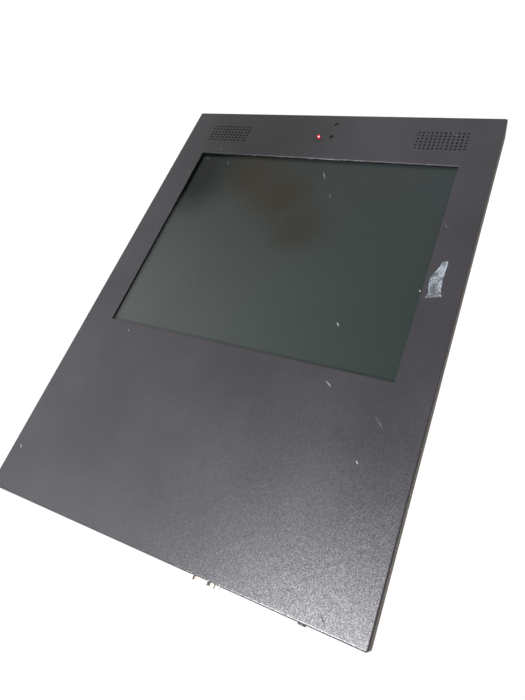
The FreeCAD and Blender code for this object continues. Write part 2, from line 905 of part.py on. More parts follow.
def speaker_studs():
    studs = []
    for x, z in speaker_hole_points():
        stud = rod(d.screw_radius, d.nut_thickness * 2, (x, sheet_back_y, z))
        nut = hexagon(small_nut_radius, d.nut_thickness / 2, (x, sheet_back_y + d.speaker_sheet, z))
        studs.append(fuse(stud, nut))
    group("speaker_studs", studs)


# ---------------------------------------------------------------- sensors


def sensor_board():
    place = (0, sensor_board_y, sensor_board_z)
    plate("sensor_board", d.sensor_board_width, d.sensor_board_height, d.board_sheet, *place)


def status_led():
    x = -d.led_side
    z = top_z - d.led_drop
    radius = d.led_diameter / 2
    dome_y = front_y - d.led_proud + radius
    stem = rod(radius, sensor_board_y - dome_y, (x, dome_y, z))
    dome = doc.addObject("Part::Sphere", "dome")
    bind(dome, "Radius", radius)
    locate(dome, x, dome_y, z)
    collar_y = sensor_board_y - d.led_collar_height
    collar = rod(radius + d.led_collar, d.led_collar_height, (x, collar_y, z))
    keep("status_led", fuse(stem, dome, collar))


def microphone():
    z = top_z - d.microphone_drop
    start = sheet_back_y + d.sensor_play
    capsule = rod(d.sensor_hole / 2 - d.sensor_play, sensor_board_y - start, (d.sensor_side, start, z))
    keep("microphone", capsule)


def camera_module():
    """The camera's square body, from the sensor board to the middle of the gap behind the panel."""
    z = top_z - d.camera_drop
    side = d.sensor_hole + d.sensor_play * 2
    depth = sensor_board_y - lens_back_y
    keep("camera_module", block((side, depth, side), (d.sensor_side, lens_back_y + depth / 2, z)))


def camera_lens():
    z = top_z - d.camera_drop
    length = d.panel_sheet
    start = lens_back_y - length
    barrel = rod(d.sensor_hole / 2 - d.sensor_play, length, (d.sensor_side, start, z))
    cup = rod(d.sensor_hole / 4, length / 2, (d.sensor_side, start, z))
    keep("camera_lens", cut(barrel, cup))


# ---------------------------------------------------------------- ports on the bottom edge


def shell_outline(sketch, grow):
    """The tapered outline of the serial socket, wider at the back, grown by a margin all round."""
    long_half = d.serial_shell_long / 2 + grow
    short_half = d.serial_shell_short / 2 + grow
    half_depth = d.serial_shell_depth / 2 + grow
    return polygon(sketch, [(-short_half, -half_depth), (short_half, -half_depth),
                            (long_half, half_depth), (-long_half, half_depth)])


def serial_shell():
    """The socket's metal shell: a flange behind the panel's wall and a nose that passes through it."""
    body = new_body("serial_shell", d.serial_side, port_y, bottom_inner_z)
    nose = shell_outline(sketch_on(body, "XY_Plane"), 0)
    pad(body, nose, d.panel_sheet + d.serial_shell_proud)
    fillet(body, d.serial_shell_wall * 4, runs_along("z"))
    flange = rectangle(sketch_on(body, "XY_Plane"), d.serial_flange_width, d.serial_flange_depth)
    pad(body, flange, d.serial_flange_sheet, along_normal=True)
    hollow = sketch_on(body, "XY_Plane", lift=d.serial_flange_sheet)
    pocket(body, shell_outline(hollow, -d.serial_shell_wall))
    screws = [(side * d.serial_pitch / 2, 0) for side in (-1, 1)]
    holes = sketch_on(body, "XY_Plane", lift=d.serial_flange_sheet)
    pocket(body, circles(holes, d.screw_radius + d.screw_play, screws))


def serial_insulator():
    """The moulded block with nine contact holes: a nose in the shell and a body behind the flange."""
    body = new_body("serial_insulator", d.serial_side, port_y, flange_back_z)
    rear = rectangle(sketch_on(body, "XY_Plane"), d.serial_body_width, d.serial_body_depth)
    pad(body, rear, d.serial_body_height, along_normal=True)
    nose = shell_outline(sketch_on(body, "XY_Plane"), -d.serial_shell_wall - d.serial_nose_gap)
    reach = d.serial_flange_sheet + d.panel_sheet + d.serial_shell_proud
    pad(body, nose, reach - d.serial_nose_gap)
    upper = [((number - 2) * d.contact_pitch, d.contact_row) for number in range(5)]
    lower = [((number - 1.5) * d.contact_pitch, -d.contact_row) for number in range(4)]
    pocket(body, circles(sketch_on(body, "XY_Plane"), d.contact_radius, upper + lower))


def serial_jackscrews():
    """Hexagonal posts outside the wall, threaded for the plug, with their nuts behind the flange."""
    screws = []
    post_z = bottom_z - d.jackscrew_length
    for side in (-1, 1):
        x = d.serial_side + side * d.serial_pitch / 2
        post = hexagon(d.jackscrew_radius, d.jackscrew_length, (x, port_y, post_z), "z")
        shank = rod(d.screw_radius, flange_back_z + d.jackscrew_nut - bottom_z, (x, port_y, bottom_z), "z")
        thread = rod(d.jackscrew_thread, d.jackscrew_length, (x, port_y, post_z), "z")
        nut = hexagon(small_nut_radius, d.jackscrew_nut, (x, port_y, flange_back_z), "z")
        screws.append(cut(fuse(post, shank, nut), thread))
    group("serial_jackscrews", screws)


def button_bezel():
    x = d.button_side
    start = bottom_z - d.button_bezel_proud
    flange = rod(d.button_bezel_radius, d.button_bezel_proud, (x, port_y, start), "z")
    barrel = rod(d.button_barrel, barrel_top_z - bottom_z, (x, port_y, bottom_z), "z")
    bore = rod(d.button_radius + d.button_gap, barrel_top_z - start, (x, port_y, start), "z")
    keep("button_bezel", cut(fuse(flange, barrel), bore))


def power_button():
    """A slim metal pin that stops short of the switch by its travel."""
    start = bottom_z - d.button_proud
    stroke_end = barrel_top_z - d.button_travel - d.button_gap
    body = new_body("power_button", d.button_side, port_y, start)
    disc = circles(sketch_on(body, "XY_Plane"), d.button_radius)
    pad(body, disc, stroke_end - start, along_normal=True)
    fillet(body, d.button_radius / 4, lies_at("z", 0))


def button_switch():
    side = d.button_bezel_radius * 2
    centre = (d.button_side, port_y, barrel_top_z + d.switch_height / 2)
    keep("button_switch", block((side, side, d.switch_height), centre))


def inlet_body():
    body = new_body("inlet_body", d.inlet_side, port_y, bottom_z)
    pad(body, circles(sketch_on(body, "XY_Plane"), d.inlet_radius), d.inlet_proud)
    fillet(body, d.inlet_radius / 10, lies_at("z", -d.inlet_proud.number))
    barrel = circles(sketch_on(body, "XY_Plane"), d.inlet_barrel)
    pad(body, barrel, barrel_top_z - bottom_z, along_normal=True)
    bore = sketch_on(body, "XY_Plane", lift=d.inlet_bore_depth - d.inlet_proud)
    pocket(body, circles(bore, d.inlet_bore))


def inlet_pin():
    """The pin that the plug fits over, from just inside the mouth to the floor of the bore."""
    start = bottom_z - d.inlet_proud + d.inlet_pin_recess
    length = d.inlet_bore_depth - d.inlet_pin_recess
    keep("inlet_pin", rod(d.inlet_pin, length, (d.inlet_side, port_y, start), "z"))


def hex_nuts():
    """The nuts of the mount's bolts, the power button and the inlet."""
    nuts = []
    start = cover_inner_y - d.nut_thickness
    for x, z in mount_bolt_points():
        bore = rod(d.mount_thread + d.nut_play, d.nut_thickness, (x, start, z))
        nuts.append(cut(hexagon(d.mount_thread * 2, d.nut_thickness, (x, start, z)), bore))
    for x, barrel in ((d.button_side, d.button_barrel), (d.inlet_side, d.inlet_barrel)):
        place = (x, port_y, bottom_inner_z)
        ring = hexagon(barrel * 1.4, d.nut_thickness, place, "z")
        nuts.append(cut(ring, rod(barrel + d.nut_play, d.nut_thickness, place, "z")))
    group("hex_nuts", nuts)


# ---------------------------------------------------------------- service door, hinges and lock


hinge_x = -(d.door_width + d.door_gap) / 2
hinge_y = cover_back_y + d.knuckle_gap + d.knuckle_radius
lock_x = d.door_width / 2 - d.lock_inset
door_front_y = cover_inner_y + d.door_relief
stop_front_y = cover_inner_y - d.stop_sheet
cam_back_y = stop_front_y - d.keeper_depth - d.cam_gap


def service_door():
    depth = cover_back_y - door_front_y
    body = plate("service_door", d.door_width, d.door_height, depth, 0, door_front_y, door_z)
    through(body, circles(sketch_on(body), d.lock_barrel + d.lock_play, ((lock_x, 0),)))


def door_stop_frame():
    """A welded ring that the door shuts against, with a keeper that the lock's cam turns behind."""
    width = d.door_width + (d.stop_lap + d.stop_rim) * 2
    height = d.door_height + (d.stop_lap + d.stop_rim) * 2
    ring = block((width, d.stop_sheet, height), (0, stop_front_y + d.stop_sheet / 2, door_z))
    hole = block((d.door_width - d.stop_lap * 2, d.stop_sheet, d.door_height - d.stop_lap * 2),
                 (0, stop_front_y + d.stop_sheet / 2, door_z))
    keeper_width = d.stop_lap * 2
    keeper_x = d.door_width / 2 + d.keeper_shift
    keeper = block((keeper_width, d.keeper_depth, d.cam_width * 2),
                   (keeper_x, stop_front_y - d.keeper_depth / 2, door_z))
    keep("door_stop_frame", fuse(cut(ring, hole), keeper))


def knuckle_spans():
    """The low ends of a hinge's three knuckles, counted from the hinge's foot, and their height."""
    third = d.hinge_height / 3
    return [third * number for number in range(3)], third - d.knuckle_gap


def hinge_feet():
    return [door_z + end * d.hinge_spread - d.hinge_height / 2 for end in (-1, 1)]


def hinge_leaf(side, chosen, foot):
    """One leaf: a flat plate clear of the other leaf's knuckles, with its own knuckles and tabs."""
    starts, height = knuckle_spans()
    clear = d.knuckle_radius + d.knuckle_gap * 2
    plate_y = cover_back_y + d.hinge_sheet / 2
    leaf = block((d.hinge_leaf, d.hinge_sheet, d.hinge_height - d.knuckle_gap),
                 (hinge_x + side * (clear + d.hinge_leaf / 2), plate_y,
                  foot + (d.hinge_height - d.knuckle_gap) / 2))
    pieces = [leaf]
    for number in chosen:
        low = foot + starts[number]
        middle = (hinge_x + side * clear / 2, plate_y, low + height / 2)
        tab = block((clear, d.hinge_sheet, height), middle)
        pieces += [tab, rod(d.knuckle_radius, height, (hinge_x, hinge_y, low), "z")]
    bore = rod(d.pin_radius + d.pin_play, d.hinge_height, (hinge_x, hinge_y, foot), "z")
    return cut(fuse(*pieces), bore)


def hinge_leaves():
    group("hinge_leaves_cover", [hinge_leaf(-1, (0, 2), foot) for foot in hinge_feet()])
    group("hinge_leaves_door", [hinge_leaf(1, (1,), foot) for foot in hinge_feet()])


def hinge_pins():
    length = d.hinge_height - d.knuckle_gap
    pins = [rod(d.pin_radius, length, (hinge_x, hinge_y, foot), "z") for foot in hinge_feet()]
    group("hinge_pins", pins)


def lock_housing():
    flange = rod(d.lock_flange, d.cover_sheet, (lock_x, cover_back_y, door_z))
    end = cam_back_y + d.cam_gap
    barrel = rod(d.lock_barrel, cover_back_y - end, (lock_x, end, door_z))
    bore = rod(d.lock_plug + d.lock_play, cover_back_y + d.cover_sheet - end, (lock_x, end, door_z))
    keep("lock_housing", cut(fuse(flange, barrel), bore))


def lock_nut():
    depth = d.nut_thickness * 0.8
    start = door_front_y - depth
    ring = hexagon(d.lock_barrel * 1.5, depth, (lock_x, start, door_z))
    keep("lock_nut", cut(ring, rod(d.lock_barrel + d.nut_play, depth, (lock_x, start, door_z))))


def lock_plug():
    """The key plug, from its slotted outer end down to the square of the cam."""
    end = cover_back_y + d.cover_sheet + d.lock_plug_proud
    plug = rod(d.lock_plug, end - cam_back_y, (lock_x, cam_back_y, door_z))
    keyway_centre = (lock_x, end - d.keyway_depth / 2, door_z)
    keyway = block((d.keyway_width, d.keyway_depth, d.keyway_length), keyway_centre)
    keep("lock_plug", cut(plug, keyway))


def lock_cam():
    """A flat tongue that hangs straight down while the door is unlocked."""
    front = cam_back_y - d.cam_sheet
    hub = rod(d.cam_width / 2, d.cam_sheet, (lock_x, front, door_z))
    tongue = block((d.cam_width, d.cam_sheet, d.cam_length),
                   (lock_x, front + d.cam_sheet / 2, door_z - d.cam_length / 2))
    keep("lock_cam", fuse(hub, tongue))


# ---------------------------------------------------------------- fan


def fan_screw_points():
    return [(d.fan_side + x, d.fan_rise + z) for x, z in fan_corners()]


def fan_corners():
    spread = d.fan_hole_spread
    return [(across * spread, up * spread) for across in (-1, 1) for up in (-1, 1)]


def fan_frame():
    place = (d.fan_side, fan_front_y, d.fan_rise)
    body = plate("fan_frame", d.fan_size, d.fan_size, d.fan_depth, *place)
    fillet(body, d.cover_corner, runs_along("y"))
    through(body, circles(sketch_on(body), d.fan_bore))
    span = d.fan_bore * 2 + d.fan_strut / 3
    for width, height in ((span, d.fan_strut), (d.fan_strut, span)):
        pad(body, rectangle(sketch_on(body), width, height), d.fan_strut_sheet)
    pad(body, circles(sketch_on(body), d.fan_hub), d.fan_strut_sheet)
    through(body, circles(sketch_on(body), d.screw_radius + d.screw_play, fan_corners()))


def fan_rotor():
    """A hub with seven slanted blades, just clear of the struts and of the rear cover."""
    blades = 7
    near = d.fan_rotor_start
    far = d.fan_depth - d.fan_rotor_gap
    body = new_body("fan_rotor", d.fan_side, fan_front_y, d.fan_rise)
    pad(body, circles(sketch_on(body, lift=-near), d.fan_hub), far - near)
    root = d.fan_hub - d.fan_rotor_gap
    blade = sketch_on(body, "YZ_Plane", lift=root)
    half = d.fan_hub / 2
    edge = d.blade_sheet / 2
    tip = edge + d.blade_sheet
    polygon(blade, [(near + edge, -half), (near + tip, -half), (far - edge, half), (far - tip, half)])
    first = pad(body, blade, d.fan_blade_tip - root, along_normal=True)
    ring = body.newObject("PartDesign::PolarPattern", "blades")
    ring.Originals = [first]
    axis = next(item for item in body.Origin.OriginFeatures if item.Role == "Y_Axis")
    ring.Axis = (axis, [""])
    ring.Angle = 360
    ring.Occurrences = blades
    body.Tip = ring
    doc.recompute()


def fan_screws():
    reach = d.cover_sheet + d.fan_depth - d.fan_rotor_gap
    group("fan_screws", [screw(x, cover_back_y, z, reach) for x, z in fan_screw_points()])


# ---------------------------------------------------------------- electronics


def plate_spots():
    across = d.plate_width / 2 - d.plate_margin
    up = d.plate_height / 2 - d.plate_margin
    return [(column * across, plate_z + row * up) for column in (-1, 0, 1) for row in (-1, 1)]


def mounting_plate():
    body = plate("mounting_plate", d.plate_width, d.plate_height, d.plate_sheet, 0, plate_front_y, plate_z)
    points = [(x, z - plate_z) for x, z in plate_spots()]
    through(body, circles(sketch_on(body), d.screw_radius + d.screw_play, points))


def plate_standoffs():
    """Posts welded behind the panel, each with a screw that holds the mounting plate."""
    posts = []
    for x, z in plate_spots():
        post = rod(d.standoff_radius, d.plate_gap, (x, sheet_back_y, z))
        neck = rod(d.screw_radius, d.plate_sheet, (x, plate_front_y, z))
        head = rod(d.screw_head, d.screw_head_height, (x, plate_back_y, z))
        posts.append(fuse(post, neck, head))
    group("plate_standoffs", posts)


def board_corners(x, z, width, height):
    across = width / 2 - d.board_margin
    up = height / 2 - d.board_margin
    return [(x + column * across, z + row * up) for column in (-1, 1) for row in (-1, 1)]


def board_standoffs():
    """Posts under the main board, the display driver board and the sensor board."""
    main = board_corners(-d.board_side, plate_z, d.board_size, d.board_size)
    driver = board_corners(0, d.driver_rise, d.driver_width, d.driver_height)
    sensor = board_corners(0, sensor_board_z, d.sensor_board_width, d.sensor_board_height)
    rows = (
        (main, d.board_gap, plate_back_y),
        (driver, d.driver_gap, module_back_y),
        (sensor, d.sensor_board_gap, sheet_back_y),
    )
    posts = [rod(d.board_post, gap, (x, y, z)) for points, gap, y in rows for x, z in points]
    group("board_standoffs", posts)


def main_board():
    place = (-d.board_side, board_front_y, plate_z)
    plate("main_board", d.board_size, d.board_size, d.board_sheet, *place)


def display_board():
    place = (0, driver_front_y, d.driver_rise)
    plate("display_board", d.driver_width, d.driver_height, d.board_sheet, *place)


def touch_controller():
    place = (0, module_back_y, touch_board_z)
    plate("touch_controller", d.touch_board_width, d.touch_board_height, d.board_sheet, *place)


def package(size, x, board_y, z):
    """A closed square package on a board."""
    return block((size, d.chip_height, size), (x, board_y + d.chip_height / 2, z))


def board_chips():
    """The processor under the heat sink, and smaller packages on the three boards."""
    chips = [package(d.sink_size / 2, -d.board_side, board_back_y, sink_z)]
    across = d.board_size / 3.5
    low_z = plate_z - d.board_size / 3
    for x, z in ((-across, low_z), (-across, low_z + d.chip_size * 2), (across, low_z)):
        chips.append(package(d.chip_size, x - d.board_side, board_back_y, z))
    for step in (-1, 0, 1):
        chips.append(package(d.chip_size, d.driver_width / 4.5 * step, driver_back_y, d.driver_rise))
    chips.append(package(d.chip_size, 0, module_back_y + d.board_sheet, touch_board_z))
    group("board_chips", chips)


def heat_sink():
    count = 12
    base_y = board_back_y + d.chip_height
    body = plate("heat_sink", d.sink_size, d.sink_size, d.sink_base, -d.board_side, base_y, sink_z)
    pitch = (d.sink_size - d.sink_fin_sheet) / (count - 1)
    fin = sketch_on(body, x=(d.sink_fin_sheet - d.sink_size) / 2, lift=-d.sink_base)
    first = pad(body, rectangle(fin, d.sink_fin_sheet, d.sink_size), d.sink_fins)
    grid(body, first, fin, count, 1, pitch, 0)


def memory_module():
    z = plate_z - d.board_size / 2 + d.memory_rise
    centre = (-d.board_side, board_back_y + d.memory_depth / 2, z)
    keep("memory_module", block((d.memory_width, d.memory_depth, d.memory_height), centre))


def socket(width, depth, height, x, board_y, z):
    """A closed socket that stands on the back of a board."""
    return block((width, depth, height), (x, board_y + depth / 2, z))


def board_connectors():
    """Plugged and closed sockets along the edges of the boards."""
    small = d.socket_height
    edge = small / 2 + 1
    left_x = -d.board_side - d.board_size / 2 + small + 1
    top = plate_z + d.board_size / 2
    blocks = []
    for number, (height, depth) in enumerate(((small * 2, 13), (small * 2, 15), (small * 4, small))):
        z = top - d.chip_size * 1.5 - number * small * 4
        blocks.append(socket(small * 2, depth, height, left_x, board_back_y, z))
    blocks.append(socket(small * 3, small, small, display_cable_x, board_back_y, top - edge))
    driver_foot = d.driver_rise - d.driver_height / 2
    blocks.append(socket(small * 3, small, small, display_cable_x, driver_back_y, driver_foot + edge))
    driver_top = d.driver_rise + d.driver_height / 2
    for side in (-1, 1):
        x = side * d.driver_width / 4
        blocks.append(socket(small * 1.25, small, small, x, driver_back_y, driver_top - edge))
    blocks.append(socket(small, small, small * 1.25, fan_lead_x, driver_back_y, d.driver_rise))
    group("board_connectors", blocks)


def power_supply():
    body = plate("power_supply", d.supply_width, d.supply_height, d.supply_depth,
                 d.supply_side, plate_back_y, -d.supply_drop)
    fillet(body, d.bend_radius, runs_along("y"))


def solid_state_drive():
    body = plate("solid_state_drive", d.drive_width, d.drive_height, d.drive_depth,
                 d.supply_side, plate_back_y, -d.drive_drop)
    fillet(body, d.bend_radius, runs_along("y"))


def display_cable():
    x = display_cable_x
    low = plate_z + d.board_size / 2 - 1
    high = d.driver_rise - d.driver_height / 2 + 1
    start_y = board_back_y + d.socket_height / 2
    end_y = driver_back_y + d.socket_height / 2
    bow_y = end_y + 5
    span = high - low
    route = [(x, start_y, low), (x, start_y, low + span * 0.18), (x - 7, bow_y - 2, low + span * 0.4),
             (x - 5, bow_y, low + span * 0.62), (x, end_y, high - span * 0.16), (x, end_y, high)]
    keep("display_cable", tube(route, d.cable_radius))


def speaker_leads():
    leads = []
    start_y = driver_back_y + d.socket_height / 2
    for side in (-1, 1):
        start_x = side * d.driver_width / 4
        start_z = d.driver_rise + d.driver_height / 2 - 1
        end_x = side * (d.speaker_spread - d.magnet_radius * 1.7)
        across = end_x - start_x
        rise = speaker_z - start_z
        end_y = sheet_back_y + d.basket_depth
        route = [(start_x, start_y, start_z), (start_x, start_y, start_z + rise * 0.2),
                 (start_x + across * 0.2, start_y + 2, start_z + rise * 0.45),
                 (start_x + across * 0.4, start_y - 1, start_z + rise * 0.68),
                 (start_x + across * 0.68, start_y + 2, start_z + rise * 0.88),
                 (end_x, end_y + 16, speaker_z), (end_x, end_y, speaker_z)]
        leads.append(tube(route, d.thin_cable_radius))
    return leads


def power_lead():
    x = d.inlet_side
    end_x = d.supply_side + d.supply_width * 3 / 8
    end_z = -d.supply_drop - d.supply_height / 2
    start_z = barrel_top_z
    lead_y = plate_back_y + 12
    route = [(x, port_y, start_z), (x, port_y, start_z + 7), (x, port_y + 9, start_z + 18),
             (x - 1, lead_y, start_z + 36), (x - 4, lead_y + 1, start_z + 62), (x - 14, lead_y, end_z - 42),
             (end_x, lead_y, end_z - 18), (end_x, lead_y, end_z)]
    keep("power_lead", tube(route, d.cable_radius))


def fan_lead():
    start_x = fan_lead_x + d.socket_height / 2
    start_y = driver_back_y + d.socket_height / 2
    end_x = d.fan_side - d.fan_size / 2
    end_z = d.fan_rise - d.fan_size / 2 + 8
    end_y = fan_front_y + d.fan_depth / 2
    rise = end_z - d.driver_rise
    span = end_x - start_x
    route = [(start_x, start_y, d.driver_rise), (start_x + span * 0.35, start_y, d.driver_rise),
             (start_x + span * 0.5, start_y + 2, d.driver_rise + rise * 0.4),
             (start_x + span * 0.45, end_y - 1, d.driver_rise + rise * 0.8),
             (end_x - span * 0.3, end_y, end_z), (end_x, end_y, end_z)]
    return tube(route, d.thin_cable_radius)


def thin_leads():
    group("thin_leads", speaker_leads() + [fan_lead()])


# ---------------------------------------------------------------- build, check and write


def build():
    makers = [
        front_panel, frame_rails, rear_cover, cover_screws, vesa_plate, vesa_inserts,
        mount_bolts, screen_gasket, touch_glass, lcd_spacer, lcd_bezel, lcd_cell, lcd_backlight,
        lcd_brackets, bracket_studs, speaker_frames, speaker_cones, speaker_magnets,
        speaker_studs, sensor_board, status_led, microphone, camera_module, camera_lens,
        serial_shell, serial_insulator, serial_jackscrews, button_bezel, power_button,
        button_switch, inlet_body, inlet_pin, hex_nuts, service_door, door_stop_frame,
        hinge_leaves, hinge_pins, lock_housing, lock_nut, lock_plug, lock_cam, fan_frame,
        fan_rotor, fan_screws, mounting_plate, plate_standoffs, board_standoffs, main_board,
        display_board, touch_controller, board_chips, heat_sink, memory_module,
        board_connectors, power_supply, solid_state_drive, display_cable, thin_leads,
        power_lead,
    ]
    for make in makers:
        make()
    doc.recompute()


def check():
    for item in doc.Objects:
        if "Invalid" in item.State or "Error" in item.State:
            raise RuntimeError(f"{item.Label} failed: {item.State}")
    for label, item in subparts.items():
        if item.Shape.isNull() or not item.Shape.isValid() or not item.Shape.Solids:
            raise RuntimeError(f"{label} has no valid shape")


def write():
    os.makedirs("parts", exist_ok=True)
    for label, item in subparts.items():
        item.Shape.exportStep(f"parts/{label}.step")
    print(len(subparts), "sub-parts written")


build()
check()
write()
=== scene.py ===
import json
import math

import bpy
from mathutils import Matrix, Vector


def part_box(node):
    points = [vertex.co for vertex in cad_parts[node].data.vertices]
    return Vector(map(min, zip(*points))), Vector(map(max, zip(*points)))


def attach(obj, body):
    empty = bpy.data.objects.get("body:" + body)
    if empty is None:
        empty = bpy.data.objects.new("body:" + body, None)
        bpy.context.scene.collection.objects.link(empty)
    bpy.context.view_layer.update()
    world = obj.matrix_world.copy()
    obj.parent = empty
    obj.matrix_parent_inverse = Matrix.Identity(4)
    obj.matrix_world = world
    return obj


# The looks of a wall-hung touchscreen kiosk head. Lengths are in metres, in the CAD model's frame:
# X to the right as one faces the screen, +Y back towards the wall and +Z up.

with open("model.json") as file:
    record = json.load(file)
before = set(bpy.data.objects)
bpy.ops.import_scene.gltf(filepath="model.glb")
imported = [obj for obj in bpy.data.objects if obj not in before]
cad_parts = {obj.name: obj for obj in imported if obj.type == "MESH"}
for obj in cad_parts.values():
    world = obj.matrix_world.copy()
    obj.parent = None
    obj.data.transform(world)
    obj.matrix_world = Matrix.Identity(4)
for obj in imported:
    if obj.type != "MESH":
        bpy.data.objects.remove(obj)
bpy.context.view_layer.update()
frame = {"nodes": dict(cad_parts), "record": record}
nodes = frame["nodes"]
MM = 0.001
COOL_WHITE = (0.955, 0.96, 1.0)


def link_mesh(name, vertices, faces):
    mesh = bpy.data.meshes.new(name)
    mesh.from_pydata(vertices, [], faces)
    mesh.validate()
    thing = bpy.data.objects.new(name, mesh)
    bpy.context.scene.collection.objects.link(thing)
    return thing


# ---------------------------------------------------------------- camera, lights and floor


def add_camera():
    """A wide lens close in front of the panel's lower right corner, looking up, and tilted."""
    data = bpy.data.cameras.new("camera")
    data.lens = 26.31
    data.sensor_width = 36.0
    data.clip_start = 0.01
    camera = bpy.data.objects.new("camera", data)
    bpy.context.scene.collection.objects.link(camera)
    azimuth = math.radians(25.48)
    elevation = math.radians(20.89)
    roll = math.radians(22.37)
    level = Matrix.Rotation(azimuth, 4, "Z") @ Matrix.Rotation(math.pi / 2 + elevation, 4, "X")
    place = Matrix.Translation(Vector((0.2892, -0.5902, -0.2988)))
    camera.matrix_world = place @ level @ Matrix.Rotation(roll, 4, "Z")
    bpy.context.scene.camera = camera


def add_light(name, place, target, size, watts):
    """A soft box of the given width and height, aimed at the target."""
    data = bpy.data.lights.new(name, "AREA")
    data.shape = "RECTANGLE"
    data.size, data.size_y = size
    data.energy = watts
    data.color = COOL_WHITE
    light = bpy.data.objects.new(name, data)
    bpy.context.scene.collection.objects.link(light)
    aim = (Vector(target) - Vector(place)).to_track_quat("-Z", "Y")
    light.matrix_world = Matrix.Translation(Vector(place)) @ aim.to_matrix().to_4x4()


def add_lights():
    """A white room and six soft boxes. Key and low give the coat its sheen at the lower right."""
    world = bpy.data.worlds.new("white room")
    world.use_nodes = True
    background = world.node_tree.nodes["Background"]
    background.inputs["Color"].default_value = (1.0, 1.0, 1.0, 1.0)
    background.inputs["Strength"].default_value = 1.04
    bpy.context.scene.world = world
    add_light("key", (-0.09, -2.57, -0.93), (0.20, -0.06, -0.33), (0.35, 0.35), 176.0)
    add_light("side", (-1.9, -1.7, -0.5), (0.0, -0.06, -0.2), (2.4, 1.4), 22.0)
    add_light("left", (-1.8, -1.9, 0.7), (-0.1, -0.06, 0.0), (1.8, 1.2), 5.0)
    add_light("front", (-0.3, -2.6, -0.4), (0.0, -0.06, -0.2), (2.0, 1.0), 10.0)
    add_light("low", (-0.08, -0.91, -1.16), (0.15, -0.06, -0.33), (0.5, 0.35), 60.0)
    add_light("top", (0.0, -1.2, 2.0), (0.0, -0.06, 0.1), (1.5, 1.0), 1.5)
    bpy.context.scene.view_settings.view_transform = "Standard"


def add_flag():
    """A studio flag behind and to the right, which only glossy surfaces see: it darkens the side wall."""
    left, right, low, high = -0.05, 2.6, -1.1, 3.4
    left_back, right_back = 2.2, 1.4
    corners = [(left, left_back, low), (right, right_back, low),
               (right, right_back, high), (left, left_back, high)]
    flag = link_mesh("flag", corners, [(0, 1, 2, 3)])
    for ray in ("camera", "diffuse", "transmission", "volume_scatter", "shadow"):
        setattr(flag, f"visible_{ray}", False)
    recipe = Recipe("flag cloth")
    recipe.colour(recipe.mix(recipe.noise(40.0), (0.22, 0.19, 0.16), (0.28, 0.245, 0.205)))
    recipe.set("Roughness", 0.9)
    flag.data.materials.append(recipe.material)


def add_floor():
    """A plain pale floor, well below the kiosk, which hangs from its mount."""
    half = 40.0
    drop = 1.2
    corners = [(x * half, y * half, -drop) for x, y in ((-1, -1), (1, -1), (1, 1), (-1, 1))]
    floor = link_mesh("floor", corners, [(0, 1, 2, 3)])
    recipe = Recipe("pale floor")
    tone = recipe.noise(3.0, detail=2.0)
    recipe.colour(recipe.mix(tone, (0.96, 0.96, 0.96), (0.98, 0.98, 0.98)))
    recipe.set("Roughness", 0.9)
    floor.data.materials.append(recipe.material)


# ---------------------------------------------------------------- material building blocks

# A Mix node has a set of sockets for each type of data. Each entry holds its two inputs and its output.
MIX_SOCKETS = {"VECTOR": (4, 5, 1), "RGBA": (6, 7, 2)}


